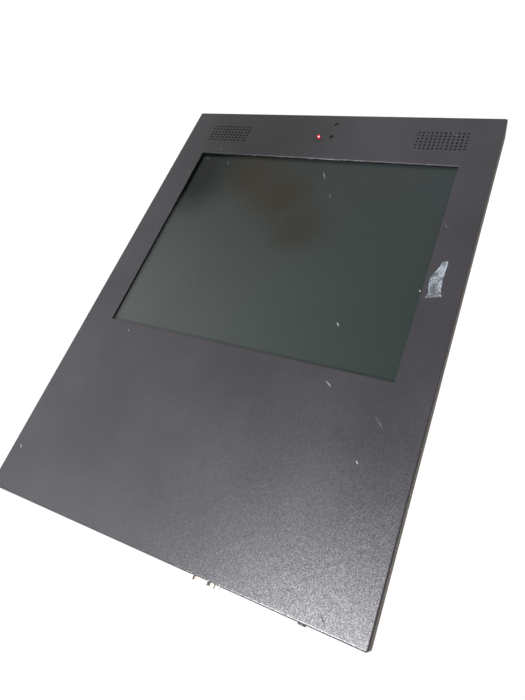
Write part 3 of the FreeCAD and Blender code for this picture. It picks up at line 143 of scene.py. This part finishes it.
class Recipe:
    """A material's node tree, built one step at a time in the object's own coordinates."""

    def __init__(self, name):
        self.material = bpy.data.materials.new(name)
        self.material.use_nodes = True
        self.tree = self.material.node_tree
        self.shader = self.tree.nodes["Principled BSDF"]
        self.place = self.tree.nodes.new("ShaderNodeTexCoord").outputs["Object"]

    def feed(self, socket, value):
        if isinstance(value, bpy.types.NodeSocket):
            self.tree.links.new(value, socket)
        elif isinstance(value, tuple) and len(value) == 3 and socket.type == "RGBA":
            socket.default_value = (*value, 1.0)
        else:
            socket.default_value = value

    def set(self, name, value):
        self.feed(self.shader.inputs[name], value)

    def colour(self, value):
        self.set("Base Color", value)

    def maths(self, operation, first, second=0.0):
        node = self.tree.nodes.new("ShaderNodeMath")
        node.operation = operation
        self.feed(node.inputs[0], first)
        self.feed(node.inputs[1], second)
        return node.outputs[0]

    def vectors(self, operation, *values):
        node = self.tree.nodes.new("ShaderNodeVectorMath")
        node.operation = operation
        for socket, value in zip(node.inputs, values):
            self.feed(socket, value)
        return node.outputs[0]

    def stretched(self, stretch):
        """The object's coordinates, scaled along each axis."""
        node = self.tree.nodes.new("ShaderNodeMapping")
        self.feed(node.inputs["Vector"], self.place)
        node.inputs["Scale"].default_value = stretch
        return node.outputs[0]

    def noise(self, scale, detail=3.0, roughness=0.5, stretch=None, distortion=0.0):
        node = self.tree.nodes.new("ShaderNodeTexNoise")
        self.feed(node.inputs["Vector"], self.stretched(stretch) if stretch else self.place)
        node.inputs["Scale"].default_value = scale
        node.inputs["Detail"].default_value = detail
        node.inputs["Roughness"].default_value = roughness
        node.inputs["Distortion"].default_value = distortion
        return node.outputs["Fac"]

    def cells(self, scale, output="Distance", feature="F1", randomness=1.0):
        node = self.tree.nodes.new("ShaderNodeTexVoronoi")
        node.feature = feature
        self.feed(node.inputs["Vector"], self.place)
        node.inputs["Scale"].default_value = scale
        node.inputs["Randomness"].default_value = randomness
        return node.outputs[output]

    def span(self, value, low, high, start=0.0, end=1.0, smooth=False):
        """Maps low..high onto start..end and holds it there."""
        node = self.tree.nodes.new("ShaderNodeMapRange")
        node.interpolation_type = "SMOOTHSTEP" if smooth else "LINEAR"
        self.feed(node.inputs["Value"], value)
        for name, number in (("From Min", low), ("From Max", high), ("To Min", start), ("To Max", end)):
            self.feed(node.inputs[name], number)
        return node.outputs["Result"]

    def mix(self, factor, first, second, data_type="RGBA"):
        node = self.tree.nodes.new("ShaderNodeMix")
        node.data_type = data_type
        first_input, second_input, result = MIX_SOCKETS[data_type]
        self.feed(node.inputs[0], factor)
        self.feed(node.inputs[first_input], first)
        self.feed(node.inputs[second_input], second)
        return node.outputs[result]

    def axes(self):
        node = self.tree.nodes.new("ShaderNodeSeparateXYZ")
        self.feed(node.inputs[0], self.place)
        return node.outputs

    def bump(self, height, strength, distance, under=None):
        node = self.tree.nodes.new("ShaderNodeBump")
        self.feed(node.inputs["Height"], height)
        node.inputs["Strength"].default_value = strength
        node.inputs["Distance"].default_value = distance
        if under:
            self.feed(node.inputs["Normal"], under)
        self.set("Normal", node.outputs[0])
        return node.outputs[0]

    def softened(self, radius, share):
        """The normal of edges that folding and paint have rounded, in the share of the surface given."""
        bevel = self.tree.nodes.new("ShaderNodeBevel")
        bevel.samples = 8
        bevel.inputs["Radius"].default_value = radius
        plain = self.tree.nodes.new("ShaderNodeNewGeometry").outputs["Normal"]
        return self.mix(share, plain, bevel.outputs[0], data_type="VECTOR")

    def facets(self, scale, tip, over):
        """Tips the normal a little, by a different amount in each cell, as a pebbled skin does."""
        pick = self.vectors("SUBTRACT", self.cells(scale, output="Color"), (0.5, 0.5, 0.5))
        lean = self.vectors("MULTIPLY_ADD", pick, (tip, tip, tip), over)
        self.set("Normal", self.vectors("NORMALIZE", lean))

    def specks(self, scale, size, share):
        """Round dots in a share of the cells of a random grid."""
        distance = self.cells(scale)
        pick = self.cells(scale, output="Color")
        split = self.tree.nodes.new("ShaderNodeSeparateColor")
        self.feed(split.inputs[0], pick)
        chosen = self.maths("LESS_THAN", split.outputs[0], share)
        limit = self.maths("MULTIPLY", split.outputs[1], size)
        return self.maths("MULTIPLY", chosen, self.maths("LESS_THAN", distance, limit))

    def stroke(self, start, end, width):
        """A scratch on the front between two points given in X and Z: it wanders, tapers and is broken."""
        sway = 3 * width
        tip_width = 0.15 * width
        x, _, z = self.axes()
        along = Vector((end[0] - start[0], end[1] - start[1]))
        half_length = along.length / 2
        along.normalize()
        from_x = self.maths("SUBTRACT", x, start[0])
        from_z = self.maths("SUBTRACT", z, start[1])
        reach = self.maths("ADD", self.maths("MULTIPLY", from_x, along.x),
                           self.maths("MULTIPLY", from_z, along.y))
        side = self.maths("SUBTRACT", self.maths("MULTIPLY", from_x, along.y),
                          self.maths("MULTIPLY", from_z, along.x))
        wander = self.maths("MULTIPLY", self.maths("SUBTRACT", self.noise(160.0), 0.5), sway)
        off = self.maths("ABSOLUTE", self.maths("ADD", side, wander))
        middle = self.maths("ABSOLUTE", self.maths("SUBTRACT", reach, half_length))
        taper = self.span(middle, 0.0, half_length, width, tip_width)
        broken = self.span(self.noise(900.0, detail=4.0), 0.38, 0.5)
        inside = self.maths("LESS_THAN", off, taper)
        within = self.maths("LESS_THAN", middle, half_length)
        return self.maths("MULTIPLY", self.maths("MULTIPLY", inside, within), broken)

    def blot(self, middle, reach, strength, ragged=0.0):
        """A soft round patch on the front, about a point given in X and Z, with a wavy rim."""
        full_within = 0.2 * reach
        x, _, z = self.axes()
        off_x = self.maths("POWER", self.maths("SUBTRACT", x, middle[0]), 2.0)
        off_z = self.maths("POWER", self.maths("SUBTRACT", z, middle[1]), 2.0)
        spread = self.maths("SQRT", self.maths("ADD", off_x, off_z))
        wavy = self.maths("MULTIPLY", self.maths("SUBTRACT", self.noise(14.0), 0.5), ragged)
        return self.span(self.maths("ADD", spread, wavy), full_within, reach, strength, 0.0, smooth=True)

    def either(self, *masks):
        total = masks[0]
        for mask in masks[1:]:
            total = self.maths("MAXIMUM", total, mask)
        return total

    def scratches(self, table):
        """All the strokes of a table. A row holds two points on the front and a width, in millimetres."""
        strokes = [self.stroke(front(*start), front(*end), width * MM) for start, end, width in table]
        return self.either(*strokes)


# ---------------------------------------------------------------- materials


def front(x_mm, z_mm):
    """A point on the front, in millimetres from the panel's top left corner, in the frame's X and Z."""
    low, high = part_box("front_panel")
    return low.x + x_mm * MM, high.z - z_mm * MM


COAT_SCRATCHES = (
    ((447, 188), (456, 198), 0.16),
    ((371, 431), (379, 437), 0.4),
    ((424, 29), (432, 36), 0.25),
    ((430, 510), (433, 513), 0.5),
    ((80, 425), (83, 428), 0.4),
    ((12, 615), (15, 620), 0.5),
    ((38, 132), (40, 139), 0.3),
    ((75, 82), (77, 84), 0.4),
    ((436, 458), (448, 470), 0.12),
)
COAT_GOUGE = (((440, 657), (448.5, 668), 0.6),)
# Painted highlight: a light line along the top edge of the screen opening.
LIP_PAINTED_HIGHLIGHT = (((62, 91.1), (444, 91.1), 0.45),)
GLASS_SCRATCHES = (
    ((260.5, 111.5), (268.5, 127.5), 0.4),
    ((284, 154), (287, 160), 0.25),
    ((358, 352), (362, 357), 0.6),
    ((441.5, 288), (443, 291), 0.7),
    ((96, 104), (101, 111), 0.2),
    ((54, 97), (59, 101), 0.2),
)


def front_wear_and_lip_highlight(recipe, tone, rough):
    """The front's scratches and gouge, a painted highlight along the screen lip, and the smoother coat on its
    bottom bend.
    """
    height = recipe.axes()[2]
    bend = recipe.span(height, front(0, 670.8)[1], front(0, 672.2)[1], 0.0, 1.0)
    gouge = recipe.scratches(COAT_GOUGE)
    tone = recipe.mix(recipe.maths("MULTIPLY", gouge, 0.8), tone, (0.001, 0.001, 0.001))
    rough = recipe.span(bend, 0.0, 1.0, rough, 0.14)
    rough = recipe.span(gouge, 0.0, 1.0, rough, 1.0)
    tone = recipe.mix(recipe.scratches(COAT_SCRATCHES), tone, (0.19, 0.18, 0.17))
    # Painted highlight: the screen opening's top lip is lightened.
    tone = recipe.mix(recipe.scratches(LIP_PAINTED_HIGHLIGHT), tone, (0.058, 0.055, 0.06))
    return tone, rough


def powder_coat(name="black powder coat", marks=False, roughness=(0.66, 0.72)):
    """Black powder coat over folded steel: a fine pebbled skin that glints, with rubbed patches, and on the
    front painted shade and a painted highlight.
    """
    recipe = Recipe(name)
    patches = recipe.noise(9.0, detail=4.0)
    tone = recipe.mix(recipe.span(patches, 0.35, 0.65), (0.0058, 0.0052, 0.0062), (0.0086, 0.0078, 0.0092))
    if marks:
        # Painted shade: a soft dark patch darkens the coat over the front's upper left.
        tone = recipe.mix(recipe.blot(front(125, 45), 190 * MM, 0.85), tone, (0.0012, 0.0010, 0.0012))
    dust = recipe.specks(210.0, 0.16, 0.05)
    tone = recipe.mix(recipe.maths("MULTIPLY", dust, 0.5), tone, (0.08, 0.08, 0.08))
    rough = recipe.span(patches, 0.3, 0.7, *roughness)
    if marks:
        tone, rough = front_wear_and_lip_highlight(recipe, tone, rough)
    recipe.colour(tone)
    recipe.set("Roughness", rough)
    recipe.set("IOR", 1.5)
    recipe.set("Specular IOR Level", 0.3 if marks else 0.15)
    below_grilles = recipe.span(recipe.axes()[2], front(0, 80)[1], front(0, 76)[1], 1.0, 0.0)
    edges = recipe.softened(0.8 * MM, below_grilles)
    ripple = recipe.bump(recipe.noise(220.0, detail=3.0), 0.2, 0.1 * MM, under=edges)
    recipe.facets(1650.0, 0.135, over=ripple)
    return recipe.material


def anti_glare_glass():
    """Etched touch glass over a dark, unlit display: green-grey with faint brown clouds, a painted reflection
    lighter towards the lower left and painted shade in the dark upper left corner.
    """
    recipe = Recipe("anti-glare glass")
    clouds = recipe.noise(5.0, detail=2.0, distortion=0.6)
    veil = recipe.noise(11.0, detail=3.0)
    x, _, z = recipe.axes()
    left, top = front(45, 85)
    right, bottom = front(445, 405)
    drop = recipe.span(z, top, bottom)
    across = recipe.span(x, left, right)
    # Painted reflection: the glass is lighter towards the bottom, most of all at the lower left, and darker
    # at the top.
    upper = recipe.mix(across, (0.0040, 0.0055, 0.0044), (0.0062, 0.0082, 0.0080))
    lower = recipe.mix(across, (0.0172, 0.0190, 0.0176), (0.0046, 0.0078, 0.0066))
    tone = recipe.mix(drop, upper, lower)
    haze = recipe.span(clouds, 0.35, 0.65, 0.0, 0.3)
    tone = recipe.mix(haze, tone, (0.0070, 0.0094, 0.0080))
    # Faint brown clouds over the upper middle of the glass, strongest at their centres.
    brown_clouds = recipe.either(
        recipe.blot(front(150, 130), 75 * MM, 0.9, ragged=60 * MM),
        recipe.blot(front(205, 165), 75 * MM, 0.8, ragged=60 * MM),
        recipe.blot(front(255, 215), 60 * MM, 0.6, ragged=50 * MM),
    )
    tone = recipe.mix(brown_clouds, tone, (0.0060, 0.0044, 0.0022))
    # Painted shade: the upper left corner is darkened further.
    dark_corner = recipe.blot(front(50, 130), 110 * MM, 1.0, ragged=40 * MM)
    tone = recipe.mix(dark_corner, tone, (0.0, 0.0006, 0.0))
    dust = recipe.specks(160.0, 0.12, 0.05)
    seen = recipe.either(recipe.scratches(GLASS_SCRATCHES), recipe.maths("MULTIPLY", dust, 0.25))
    recipe.colour(recipe.mix(seen, tone, (0.17, 0.18, 0.16)))
    recipe.set("Roughness", recipe.span(veil, 0.3, 0.7, 0.27, 0.33))
    recipe.set("IOR", 1.5)
    recipe.set("Specular IOR Level", 0.17)
    recipe.bump(recipe.noise(2600.0, detail=1.0), 0.10, 0.02 * MM)
    return recipe.material


def moulded(name, dark, light, roughness=(0.38, 0.5), grain=1800.0, strength=0.25, specular=0.5):
    """Moulded plastic or a film with a fine spark-eroded grain."""
    recipe = Recipe(name)
    recipe.set("Specular IOR Level", specular)
    patches = recipe.noise(40.0, detail=3.0)
    recipe.colour(recipe.mix(recipe.span(patches, 0.3, 0.7), dark, light))
    recipe.set("Roughness", recipe.span(patches, 0.3, 0.7, *roughness))
    recipe.bump(recipe.noise(grain, detail=2.0), strength, 0.05 * MM)
    return recipe.material


def metal(name, dark, light, roughness=(0.25, 0.4)):
    """Turned, drawn or plated metal, with streaks across one axis and duller patches."""
    recipe = Recipe(name)
    streaks = recipe.noise(600.0, detail=3.0, stretch=(1.0, 1.0, 24.0))
    patches = recipe.noise(70.0, detail=3.0)
    tone = recipe.mix(recipe.span(streaks, 0.3, 0.7), dark, light)
    recipe.colour(recipe.mix(recipe.span(patches, 0.62, 0.8, 0.0, 0.5), tone, dark))
    recipe.set("Metallic", 1.0)
    recipe.set("Roughness", recipe.span(patches, 0.3, 0.7, *roughness))
    recipe.bump(streaks, 0.15, 0.03 * MM)
    return recipe.material


def zinc_plate():
    """Bright zinc with large angular spangles, each a slightly different grey."""
    recipe = Recipe("zinc plate")
    spangle = recipe.cells(220.0, output="Color")
    grey = recipe.tree.nodes.new("ShaderNodeRGBToBW")
    recipe.feed(grey.inputs[0], spangle)
    fine = recipe.noise(900.0, detail=3.0, stretch=(1.0, 1.0, 8.0))
    tone = recipe.mix(grey.outputs[0], (0.36, 0.37, 0.38), (0.58, 0.59, 0.6))
    recipe.colour(recipe.mix(recipe.span(fine, 0.4, 0.7, 0.0, 0.4), tone, (0.3, 0.31, 0.32)))
    recipe.set("Metallic", 1.0)
    recipe.set("Roughness", recipe.span(grey.outputs[0], 0.0, 1.0, 0.3, 0.45))
    recipe.bump(fine, 0.1, 0.03 * MM)
    return recipe.material


def foam():
    """Closed cell foam or cone paper: black, soft and full of fine pores."""
    recipe = Recipe("black foam")
    pores = recipe.cells(1500.0)
    recipe.colour(recipe.mix(recipe.span(pores, 0.2, 0.7), (0.001, 0.001, 0.001), (0.004, 0.004, 0.004)))
    recipe.set("Specular IOR Level", 0.2)
    recipe.set("Roughness", recipe.span(pores, 0.0, 0.8, 0.85, 0.98))
    recipe.bump(pores, 0.5, 0.15 * MM)
    return recipe.material


def circuit_board():
    """Green solder mask over copper tracks, with tinned pads."""
    recipe = Recipe("circuit board")
    tracks = recipe.cells(190.0, feature="DISTANCE_TO_EDGE", randomness=0.6)
    raised = recipe.span(tracks, 0.03, 0.06, 1.0, 0.0)
    board = recipe.mix(recipe.noise(60.0), (0.004, 0.055, 0.022), (0.007, 0.075, 0.03))
    tone = recipe.mix(raised, board, (0.02, 0.15, 0.055))
    pads = recipe.specks(420.0, 0.32, 0.22)
    recipe.colour(recipe.mix(pads, tone, (0.62, 0.62, 0.58)))
    recipe.set("Metallic", recipe.maths("MULTIPLY", pads, 0.9))
    recipe.set("Roughness", recipe.span(pads, 0.0, 1.0, 0.32, 0.22))
    recipe.set("Coat Weight", 0.3)
    recipe.bump(recipe.maths("ADD", raised, pads), 0.3, 0.05 * MM)
    return recipe.material


def status_lens():
    """A lit red indicator: clear tinted resin, with a white-hot spot low in its dome."""
    recipe = Recipe("lit red lens")
    low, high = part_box("status_led")
    middle = (low + high) / 2
    hot = (middle.x + 0.7 * MM, low.y + 1.3 * MM, middle.z - 1.9 * MM)
    offsets = [recipe.maths("SUBTRACT", along, spot) for along, spot in zip(recipe.axes(), hot)]
    squares = [recipe.maths("POWER", offset, 2.0) for offset in offsets]
    total = recipe.maths("ADD", recipe.maths("ADD", squares[0], squares[1]), squares[2])
    core = recipe.span(recipe.maths("SQRT", total), 0.4 * MM, 1.3 * MM, 1.0, 0.0, smooth=True)
    rim = recipe.span(recipe.axes()[2], middle.z - 1.2 * MM, high.z, 1.0, 0.05)
    recipe.colour(recipe.mix(recipe.noise(700.0), (0.05, 0.001, 0.002), (0.08, 0.002, 0.002)))
    recipe.set("Emission Color", recipe.mix(core, (0.85, 0.004, 0.012), (1.0, 0.85, 0.85)))
    recipe.set("Emission Strength", recipe.maths("ADD", recipe.maths("MULTIPLY", rim, 0.8),
                                                 recipe.maths("MULTIPLY", core, 3.0)))
    recipe.set("Specular IOR Level", 0.2)
    recipe.set("Roughness", recipe.span(recipe.noise(500.0), 0.3, 0.7, 0.08, 0.16))
    return recipe.material


def label_film():
    """What a torn-off label leaves: greyish glue and paper fibre, with the black coat showing through."""
    recipe = Recipe("label residue")
    fibre = recipe.noise(700.0, detail=6.0, roughness=0.8, stretch=(1.0, 1.0, 0.55))
    patches = recipe.noise(110.0, detail=4.0)
    cover = recipe.maths("ADD", recipe.maths("MULTIPLY", fibre, 0.65),
                         recipe.maths("MULTIPLY", patches, 0.45))
    paper = recipe.mix(recipe.noise(900.0), (0.055, 0.065, 0.075), (0.12, 0.135, 0.15))
    holes = recipe.span(recipe.cells(620.0), 0.28, 0.42)
    torn = recipe.maths("MULTIPLY", recipe.span(cover, 0.49, 0.56), holes)
    recipe.colour(recipe.mix(torn, (0.008, 0.008, 0.0095), paper))
    recipe.set("Roughness", recipe.span(cover, 0.4, 0.6, 0.5, 0.85))
    recipe.bump(cover, 0.6, 0.15 * MM)
    return recipe.material


def make_materials():
    """The material of each slot that the record names."""
    return {
        "black_powder_coat": powder_coat(),
        "zinc_steel": zinc_plate(),
        "bright_steel": metal("bright steel", (0.42, 0.42, 0.42), (0.62, 0.62, 0.62)),
        "black_screw": metal("black oxide", (0.02, 0.02, 0.022), (0.05, 0.05, 0.055), (0.32, 0.45)),
        "black_foam": foam(),
        "screen_glass": anti_glare_glass(),
        "dark_screen": moulded("polariser film", (0.006, 0.009, 0.008), (0.01, 0.013, 0.012),
                               roughness=(0.12, 0.2), grain=300.0, strength=0.03),
        "white_plastic": moulded("white plastic", (0.55, 0.54, 0.5), (0.66, 0.65, 0.61)),
        "black_plastic": moulded("black plastic", (0.006, 0.006, 0.0065), (0.012, 0.012, 0.0125),
                                 specular=0.25),
        "black_gloss": moulded("black gloss", (0.003, 0.003, 0.003), (0.005, 0.005, 0.005),
                               roughness=(0.1, 0.18), grain=900.0, strength=0.05, specular=0.15),
        "red_lens": status_lens(),
        "circuit_board": circuit_board(),
        "nickel_shell": metal("nickel plate", (0.26, 0.235, 0.195), (0.44, 0.40, 0.335), (0.28, 0.42)),
        "brass_pin": metal("brass", (0.55, 0.36, 0.12), (0.76, 0.55, 0.22), (0.2, 0.34)),
        "bare_aluminium": metal("bare aluminium", (0.55, 0.56, 0.57), (0.72, 0.73, 0.74), (0.3, 0.42)),
        "supply_case": metal("supply case", (0.42, 0.43, 0.44), (0.6, 0.61, 0.62), (0.35, 0.5)),
        "cable_sheath": moulded("cable sheath", (0.012, 0.012, 0.012), (0.02, 0.02, 0.02),
                                roughness=(0.45, 0.6), grain=700.0, strength=0.2),
    }


def dress_nodes():
    """Gives every CAD node the material of its slot in the record, and the front its own, worn coat."""
    materials = make_materials()
    slots = {row["node"]: row["material_slot"] for row in frame["record"]["subparts"]}
    for name, thing in nodes.items():
        thing.data.materials.clear()
        thing.data.materials.append(materials[slots[name]])
    nodes["front_panel"].data.materials.clear()
    nodes["front_panel"].data.materials.append(powder_coat("front powder coat", True, (0.34, 0.38)))


# ---------------------------------------------------------------- pieces that the CAD model leaves out


def new_piece(name, vertices, faces, body, material):
    piece = link_mesh(name, vertices, faces)
    piece.data.materials.append(material)
    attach(piece, body)


def tear(x_mm, z_mm):
    """How far a torn edge strays at a point on the front, in millimetres: two crossing waves."""
    return 0.55 * math.sin(x_mm * 5.3 + z_mm * 2.1) + 0.35 * math.sin(z_mm * 4.7 - x_mm * 3.1)


def label_residue():
    """A torn strip of old label on the right bezel, as a thin film with a ragged outline.

    Its edges are given from the top down, in millimetres on the front.
    """
    left = [(460.0, 247), (457.6, 254), (454.8, 260), (452.0, 267), (449.8, 275),
            (449.6, 281), (451.8, 287), (452.0, 293), (450.5, 301)]
    right = [(464.0, 245), (465.4, 251), (464.8, 258), (464.2, 265), (464.6, 272),
             (465.0, 279), (466.0, 286), (467.6, 292), (469.4, 296)]
    film = 0.06 * MM
    rim_film = 0.3 * film
    side_tear, inner_tear, height_tear = 1.3, 0.3, 0.5
    face_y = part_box("front_panel")[0].y
    columns = 14
    per_row = columns + 1
    rows = []
    for (left_x, left_z), (right_x, right_z) in zip(left, right):
        row = []
        for step in range(per_row):
            share = step / columns
            x_mm = left_x + (right_x - left_x) * share
            z_mm = left_z + (right_z - left_z) * share
            ragged = tear(x_mm, z_mm)
            across = side_tear if step in (0, columns) else inner_tear
            row.append(front(x_mm + ragged * across, z_mm + ragged * height_tear))
        rows.append(row)
    vertices = [(x, face_y, z) for row in rows for x, z in row]
    for number, row in enumerate(rows):
        for step, (x, z) in enumerate(row):
            on_rim = number in (0, len(rows) - 1) or step in (0, columns)
            vertices.append((x, face_y - (rim_film if on_rim else film), z))
    layer = per_row * len(rows)
    faces = []
    for number in range(len(rows) - 1):
        for step in range(columns):
            corner = number * per_row + step
            quad = (corner, corner + 1, corner + 1 + per_row, corner + per_row)
            faces.append(tuple(reversed(quad)))
            faces.append(tuple(index + layer for index in quad))
    outline = list(range(per_row))
    outline += [number * per_row + columns for number in range(1, len(rows))]
    outline += [(len(rows) - 1) * per_row + step for step in reversed(range(columns))]
    outline += [number * per_row for number in reversed(range(1, len(rows) - 1))]
    for here, there in zip(outline, outline[1:] + outline[:1]):
        faces.append((here, there, there + layer, here + layer))
    new_piece("label_residue", vertices, faces, "cabinet", label_film())


# ---------------------------------------------------------------- the scene


add_camera()
add_lights()
add_floor()
add_flag()
dress_nodes()
label_residue()
